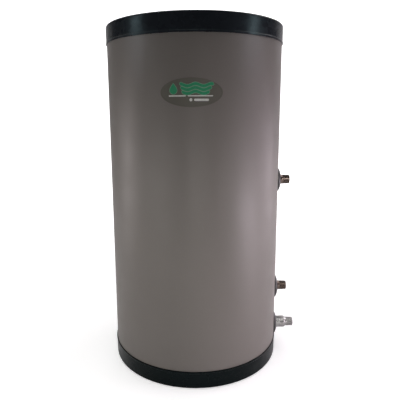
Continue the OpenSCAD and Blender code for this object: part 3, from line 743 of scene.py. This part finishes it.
for i in range(3):
    u0, u1, v = -34 + 3 * i, 64 - 6 * i, 21 - 10.5 * i
    mark(f"badge_wave_{i}_edge", "badge_edge", v, 4.0 + EDGE, u0 - EDGE, u1 + EDGE, 1.0, EDGE_TOP)
    mark(f"badge_wave_{i}", "badge_green", v, 4.0, u0, u1, 1.0)
drop("badge_drop_edge", "badge_edge", -52, 6, 10.5 + EDGE, 9, EDGE_TOP)
drop("badge_drop", "badge_green", -52, 6, 10.5, 9)
mark("badge_line_left", "badge_white", -9.5, 1.7, -66, -16)
mark("badge_line_right", "badge_white", -9.5, 1.5, -11, 62)
mark("badge_dot", "badge_white", -20.5, 4.2, -6, 2.4)
mark("badge_bar", "badge_white", -20.8, 3.2, 7, 50)

# ---- rivets down the seam ----

RIVETS, RIVET_SIDES = 9, 32
HEAD_R, HEAD_H = 4.5, 1.6
SEAM, RIVET_OFFSET = math.radians(135), 12    # the jacket's seam, and how far beside it the rivets run
low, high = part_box("jacket_rivets")
seam_angle = SEAM + RIVET_OFFSET * MM / jacket_r
head = rounded([
    (0.01, 0.9, 0), (1.3, 0.9, 0.1), (1.5, HEAD_H, 0.15), (2.6, HEAD_H - 0.1, 1.0),
    (HEAD_R, 0.35, 0.2), (HEAD_R, -0.1, 0), (0.01, -0.1, 0)], 3)
verts, faces = [], []
for i in range(RIVETS):
    z = low[2] + HEAD_R * MM + (high[2] - low[2] - 2 * HEAD_R * MM) * i / (RIVETS - 1)
    place = Matrix.Rotation(seam_angle, 4, "Z") @ shift(jacket_r, 0, z) @ TO_X
    columns = []
    for k in range(RIVET_SIDES):
        a = TAU * k / RIVET_SIDES
        ring = [(r * math.cos(a) * MM, r * math.sin(a) * MM, h * MM) for r, h in head]
        columns.append([tuple(place @ Vector(point)) for point in ring])
    v, f = grid(columns)
    faces += [tuple(len(verts) + n for n in face) for face in f]
    verts += v
fit(solid("seam_rivets", verts, faces), "zinc_steel", "heater", "jacket_rivets")


# ---- relief valve, heights in millimetres above its hexagon's underside ----

SHANK_L, OUTLET_Z, LEVER_Z = 24, 25, 72
valve_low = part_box("relief_valve_body")[0][2]
valve = shift(0, valve_y, valve_low + SHANK_L * MM)


def hexagon(across, height, steps=96):
    """Hexagonal nut with its corners turned off at both faces."""
    columns = []
    for i in range(steps):
        a = TAU * i / steps
        flat = across / 2 / math.cos((a + math.pi / 6) % (math.pi / 3) - math.pi / 6)
        column = [(0.0, 0.0)]
        for h in (0, 0.4, 0.9, 1.6, height - 1.6, height - 0.9, height - 0.4, height):
            edge = min(h, height - h)
            column.append((min(flat, across / 2 - 0.3 + edge * 1.9), h))
        column.append((0.0, height))
        columns.append([(r * math.cos(a) * MM, r * math.sin(a) * MM, h * MM) for r, h in column])
    return solid("hexagon", *grid(columns, rows_closed=False), sharp=25)


body = lathe("relief_body_cast", rounded([
    (0, -SHANK_L, 0), (12.3, -SHANK_L, 0), (13.3, 1 - SHANK_L, 0), (13.3, 0.5, 0),
    (15.5, 0.5, 0), (15.5, 11.5, 1.5), (17, 13.5, 1.5), (17, 42, 1.0), (0, 42, 0)]))
combine(body, hexagon(38, 10), "UNION")
outlet = lathe("outlet", rounded([
    (0, 0, 0), (15.3, 0, 0), (15.3, 19, 1.2), (16.8, 21, 1.2), (16.8, OUTLET_L, 1.2), (0, OUTLET_L, 0)]))
combine(body, moved(outlet, shift(z=OUTLET_Z * MM) @ TO_Y), "UNION")
ridges = []
for i in range(8):
    ridges += [(12.8, 22.2 + 1.9 * i), (12.0, 23.1 + 1.9 * i)]
way = lathe("way", [(0, 0), (9, 0), (9, 22)] + ridges + [(12.8, 37.4), (13.8, 38.6), (0, 38.6)], 64)
combine(body, moved(way, shift(z=OUTLET_Z * MM) @ TO_Y), "DIFFERENCE")
chamber = lathe("chamber", [(0, -25), (7, -25), (7, 13), (12.5, 13), (12.5, 43), (0, 43)], 64)
combine(body, chamber, "DIFFERENCE")
fit(moved(soften(body, 0.25), valve), "valve_brass", "heater", "relief_valve_body")

bonnet = lathe("relief_bonnet_turned", rounded([
    (10.8, 42, 0), (17, 42, 0.6), (17, 47, 0.8), (13.5, 47.6, 0.8), (13.5, 54, 0.3), (12.9, 54.6, 0.2),
    (12.9, 56.4, 0.2), (13.5, 57, 0.3), (13.5, 66, 1.8), (3.9, 66, 0.2), (3.08, 65.4, 0.1),
    (3.08, 62, 0), (10.8, 62, 0.8)]))
fit(moved(bonnet, valve), "valve_brass", "heater", "relief_valve_bonnet")

WIRE_R, COIL_R = 1.1, 7.35
SPRING_FOOT, SPRING_HEAD = 17.65, 61.85    # it stands on the stem's collar, and its head meets the bonnet
SPRING_LOW, SPRING_HIGH = SPRING_FOOT + WIRE_R, SPRING_HEAD - WIRE_R
END_TURNS, FREE_TURNS = 0.75, 5    # turns that lie flat at each end, and that climb between them
TURN_STEPS, WIRE_SIDES = 24, 12
rings = []
for i in range(int(TURN_STEPS * (2 * END_TURNS + FREE_TURNS)) + 1):
    t = i / TURN_STEPS
    climb = min(max((t - END_TURNS) / FREE_TURNS, 0), 1)
    a = TAU * t
    across = Vector((math.cos(a), math.sin(a), 0))
    middle = across * COIL_R + Vector((0, 0, SPRING_LOW + climb * (SPRING_HIGH - SPRING_LOW)))
    ring = []
    for j in range(WIRE_SIDES):
        b = TAU * j / WIRE_SIDES
        point = middle + across * WIRE_R * math.cos(b) + Vector((0, 0, WIRE_R * math.sin(b)))
        ring.append(tuple(point * MM))
    rings.append(ring)
verts, faces = grid(rings, columns_closed=False)
faces += [tuple(range(WIRE_SIDES)), tuple(range(len(verts) - WIRE_SIDES, len(verts)))]
spring = moved(solid("relief_spring_coiled", verts, faces, 60), valve)
fit(spring, "spring_steel", "heater", "relief_valve_spring")
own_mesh(spring)

EYE_Y, EYE_R, PIN_WAY_R, CHEEK_X = 48, 3, 1.58, 4.4
ARM = [(-8, 8, 0), (8, 8, 0), (8, EYE_Y, 0), (8, 56, 7.9), (-8, 56, 7.9), (-8, EYE_Y, 0)]
CAM = [(12, 2.5, 0.3), (-2, 3.5, 2), (-8.5, 2.5, 0.8), (-9.96, -0.87, 0.5), (-6.88, -4.82, 0.8),
       (-3, -5.85, 1), (3, -5.85, 2), (12, -2, 0.3)]
UPRIGHT = Matrix(((0, 0, 1, 0), (1, 0, 0, 0), (0, 1, 0, 0), (0, 0, 0, 1)))    # X to Y, Y to Z, Z to X
lever = slab("relief_lever_stamped", rounded(ARM, 12), 0, 2)
for side in (-1, 1):
    cheek = slab("cheek", rounded(CAM, 4), side * CHEEK_X - 1, side * CHEEK_X + 1)
    combine(lever, moved(cheek, UPRIGHT), "UNION")
combine(lever, moved(slab("eye", circle(EYE_R), -1, 3), shift(y=EYE_Y * MM)), "DIFFERENCE")
combine(lever, moved(slab("pin_way", circle(PIN_WAY_R, 32), -20, 20), TO_X), "DIFFERENCE")
lever = moved(soften(lever, 0.3), valve @ shift(z=LEVER_Z * MM))
fit(lever, "lever_paint", "relief_lever", "relief_valve_lever")


# ---- backdrop paper ----

GLOW_NEAR, GLOW_FAR = 0.8, 2.4    # metres from the origin, between which the glow grows
GLOW_LEAST, GLOW_MOST = 0.40, 1.0


def backdrop_paper():
    """Matt white paper, with a glow that the camera alone sees and that grows away from the origin."""
    m = Mat("backdrop_paper").set(Roughness=0.95, Specular_IOR_Level=0.1)
    m.colour(m.mix(m.ramp(m.noise(40, 3), 0.3, 0.7, 0, 1), (0.93, 0.93, 0.93), (0.95, 0.95, 0.95)))
    away = m.node("ShaderNodeVectorMath", operation="LENGTH")
    m.link(m.coords, away.inputs[0])
    glow = m.node("ShaderNodeEmission")
    glow.inputs["Color"].default_value = WHITE
    seen = m.node("ShaderNodeMath", operation="MULTIPLY")
    m.link(m.ramp(away.outputs["Value"], GLOW_NEAR, GLOW_FAR, GLOW_LEAST, GLOW_MOST), seen.inputs[0])
    m.link(m.node("ShaderNodeLightPath").outputs["Is Camera Ray"], seen.inputs[1])
    m.link(seen.outputs[0], glow.inputs["Strength"])
    lit = m.node("ShaderNodeAddShader")
    m.link(m.bsdf.outputs[0], lit.inputs[0])
    m.link(glow.outputs[0], lit.inputs[1])
    m.link(lit.outputs[0], m.out.inputs["Surface"])
    return m.mat


backdrop = cove()
backdrop.data.materials.append(backdrop_paper())
